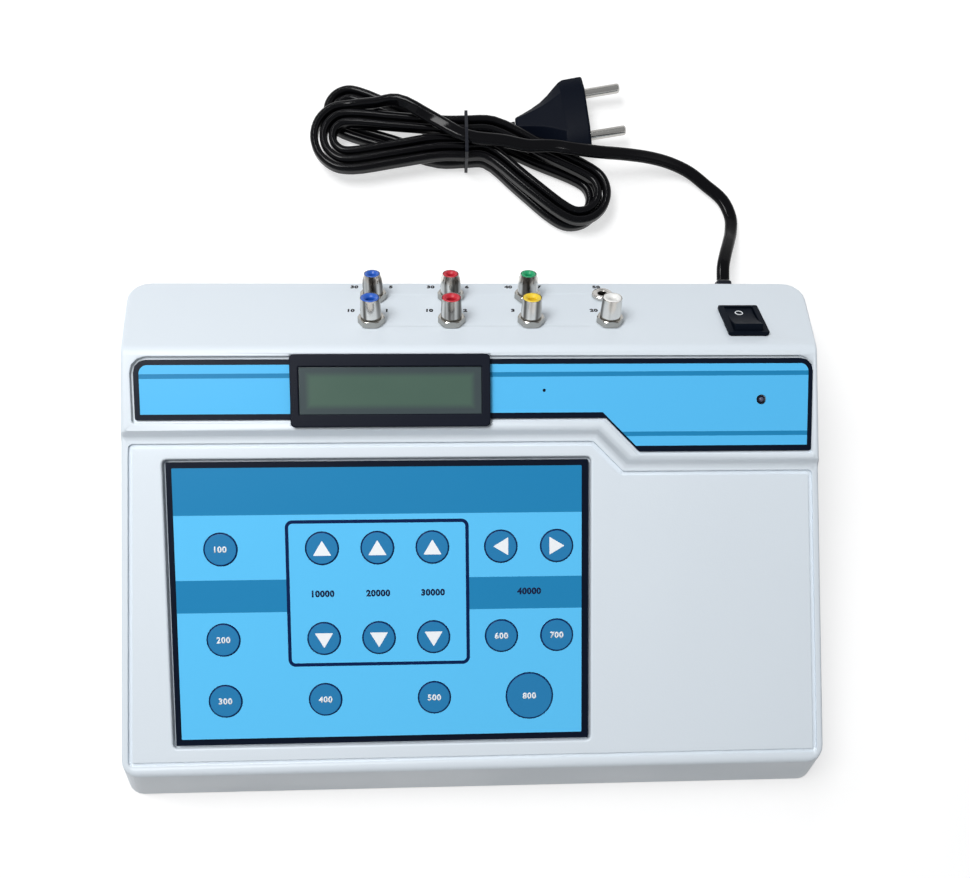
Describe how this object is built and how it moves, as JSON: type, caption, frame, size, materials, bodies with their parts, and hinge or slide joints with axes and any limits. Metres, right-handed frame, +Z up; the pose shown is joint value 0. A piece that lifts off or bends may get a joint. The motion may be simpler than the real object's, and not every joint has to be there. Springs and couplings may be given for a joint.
{
  "type": "audiometer",
  "caption": "Desktop audiometer: sloping plastic case with a membrane keypad, a character display, phono sockets and a rocker switch on the rear slope, and a flat mains lead tied in a hank.",
  "frame": {"origin": "on the table, under the middle of the case without its mains lead", "axes": "+Z up, the operator sits at -Y and the rear panel faces +Y, +X to the operator's right"},
  "size_m": [0.28, 0.3018, 0.0703],
  "materials": {
    "case": "fine satin texture",
    "base": "satin",
    "foot_rubber": "matt",
    "screw_steel": "zinc plated",
    "overlay_sky": "printed polycarbonate film, semi-gloss",
    "key_blue": "printed polycarbonate film, semi-gloss",
    "membrane": "printed film",
    "bezel_black": "satin",
    "display_window": "clear, grey-green",
    "display_green": "reflective display glass",
    "lamp": "clear tinted",
    "nickel": "polished nickel plate",
    "socket_blue": "moulded",
    "socket_red": "moulded",
    "socket_yellow": "moulded",
    "socket_white": "moulded",
    "socket_green": "moulded",
    "switch_black": "moulded",
    "board_green": "solder mask",
    "transformer": "laminated core with its winding",
    "cord_black": "glossy extruded sheath",
    "plug_black": "satin moulded"
  },
  "bodies": {
    "audiometer": {"top_cover": "case", "base_plate": "base", "foot_front_left": "foot_rubber", "foot_front_right": "foot_rubber", "foot_rear_left": "foot_rubber", "foot_rear_right": "foot_rubber", "case_screw_front_left": "screw_steel", "case_screw_front_right": "screw_steel", "case_screw_rear_left": "screw_steel", "case_screw_rear_right": "screw_steel", "header_overlay": "overlay_sky", "display_bezel": "bezel_black", "display_window": "display_window", "display_module": "display_green", "power_lamp": "lamp", "keypad_overlay": "overlay_sky", "keypad_membrane": "membrane", "socket_1_shell": "nickel", "socket_1_insert": "socket_blue", "socket_2_shell": "nickel", "socket_2_insert": "socket_red", "socket_3_shell": "nickel", "socket_3_insert": "socket_yellow", "socket_4_shell": "nickel", "socket_4_insert": "socket_white", "socket_5_shell": "nickel", "socket_5_insert": "socket_blue", "socket_6_shell": "nickel", "socket_6_insert": "socket_red", "socket_7_shell": "nickel", "socket_7_insert": "socket_green", "mic_socket": "nickel", "switch_body": "switch_black", "main_board": "board_green", "transformer": "transformer", "cord_hank": "cord_black", "mains_cord": "cord_black", "cord_gland": "plug_black", "hank_tie": "plug_black", "plug_body": "plug_black", "plug_pin_upper": "nickel", "plug_pin_lower": "nickel"},
    "key_talk_over": {"key_talk_over": "key_blue"},
    "key_frequency_up": {"key_frequency_up": "key_blue"},
    "key_intensity_up": {"key_intensity_up": "key_blue"},
    "key_masking_up": {"key_masking_up": "key_blue"},
    "key_left": {"key_left": "key_blue"},
    "key_right": {"key_right": "key_blue"},
    "key_save": {"key_save": "key_blue"},
    "key_frequency_down": {"key_frequency_down": "key_blue"},
    "key_intensity_down": {"key_intensity_down": "key_blue"},
    "key_masking_down": {"key_masking_down": "key_blue"},
    "key_menu": {"key_menu": "key_blue"},
    "key_select": {"key_select": "key_blue"},
    "key_ear_shift": {"key_ear_shift": "key_blue"},
    "key_range": {"key_range": "key_blue"},
    "key_tone": {"key_tone": "key_blue"},
    "key_stimulus": {"key_stimulus": "key_blue"},
    "switch_rocker": {"switch_rocker": "switch_black"}
  },
  "joints": [
    {"name": "talk_over_press", "type": "slide", "parent": "audiometer", "child": "key_talk_over", "axis": [0, 0.1736, -0.9848], "range_m": [0, 0.0004], "stiffness_N_per_m": 800, "springref_m": -0.0005},
    {"name": "frequency_up_press", "type": "slide", "parent": "audiometer", "child": "key_frequency_up", "axis": [0, 0.1736, -0.9848], "range_m": [0, 0.0004], "stiffness_N_per_m": 800, "springref_m": -0.0005},
    {"name": "intensity_up_press", "type": "slide", "parent": "audiometer", "child": "key_intensity_up", "axis": [0, 0.1736, -0.9848], "range_m": [0, 0.0004], "stiffness_N_per_m": 800, "springref_m": -0.0005},
    {"name": "masking_up_press", "type": "slide", "parent": "audiometer", "child": "key_masking_up", "axis": [0, 0.1736, -0.9848], "range_m": [0, 0.0004], "stiffness_N_per_m": 800, "springref_m": -0.0005},
    {"name": "left_press", "type": "slide", "parent": "audiometer", "child": "key_left", "axis": [0, 0.1736, -0.9848], "range_m": [0, 0.0004], "stiffness_N_per_m": 800, "springref_m": -0.0005},
    {"name": "right_press", "type": "slide", "parent": "audiometer", "child": "key_right", "axis": [0, 0.1736, -0.9848], "range_m": [0, 0.0004], "stiffness_N_per_m": 800, "springref_m": -0.0005},
    {"name": "save_press", "type": "slide", "parent": "audiometer", "child": "key_save", "axis": [0, 0.1736, -0.9848], "range_m": [0, 0.0004], "stiffness_N_per_m": 800, "springref_m": -0.0005},
    {"name": "frequency_down_press", "type": "slide", "parent": "audiometer", "child": "key_frequency_down", "axis": [0, 0.1736, -0.9848], "range_m": [0, 0.0004], "stiffness_N_per_m": 800, "springref_m": -0.0005},
    {"name": "intensity_down_press", "type": "slide", "parent": "audiometer", "child": "key_intensity_down", "axis": [0, 0.1736, -0.9848], "range_m": [0, 0.0004], "stiffness_N_per_m": 800, "springref_m": -0.0005},
    {"name": "masking_down_press", "type": "slide", "parent": "audiometer", "child": "key_masking_down", "axis": [0, 0.1736, -0.9848], "range_m": [0, 0.0004], "stiffness_N_per_m": 800, "springref_m": -0.0005},
    {"name": "menu_press", "type": "slide", "parent": "audiometer", "child": "key_menu", "axis": [0, 0.1736, -0.9848], "range_m": [0, 0.0004], "stiffness_N_per_m": 800, "springref_m": -0.0005},
    {"name": "select_press", "type": "slide", "parent": "audiometer", "child": "key_select", "axis": [0, 0.1736, -0.9848], "range_m": [0, 0.0004], "stiffness_N_per_m": 800, "springref_m": -0.0005},
    {"name": "ear_shift_press", "type": "slide", "parent": "audiometer", "child": "key_ear_shift", "axis": [0, 0.1736, -0.9848], "range_m": [0, 0.0004], "stiffness_N_per_m": 800, "springref_m": -0.0005},
    {"name": "range_press", "type": "slide", "parent": "audiometer", "child": "key_range", "axis": [0, 0.1736, -0.9848], "range_m": [0, 0.0004], "stiffness_N_per_m": 800, "springref_m": -0.0005},
    {"name": "tone_press", "type": "slide", "parent": "audiometer", "child": "key_tone", "axis": [0, 0.1736, -0.9848], "range_m": [0, 0.0004], "stiffness_N_per_m": 800, "springref_m": -0.0005},
    {"name": "stimulus_press", "type": "slide", "parent": "audiometer", "child": "key_stimulus", "axis": [0, 0.1736, -0.9848], "range_m": [0, 0.0004], "stiffness_N_per_m": 800, "springref_m": -0.0005},
    {"name": "rocker_pivot", "type": "hinge", "parent": "audiometer", "child": "switch_rocker", "pos_m": [0.10061, 0.07465, 0.05798], "axis": [1, 0, 0], "range_deg": [0, 20]}
  ]
}
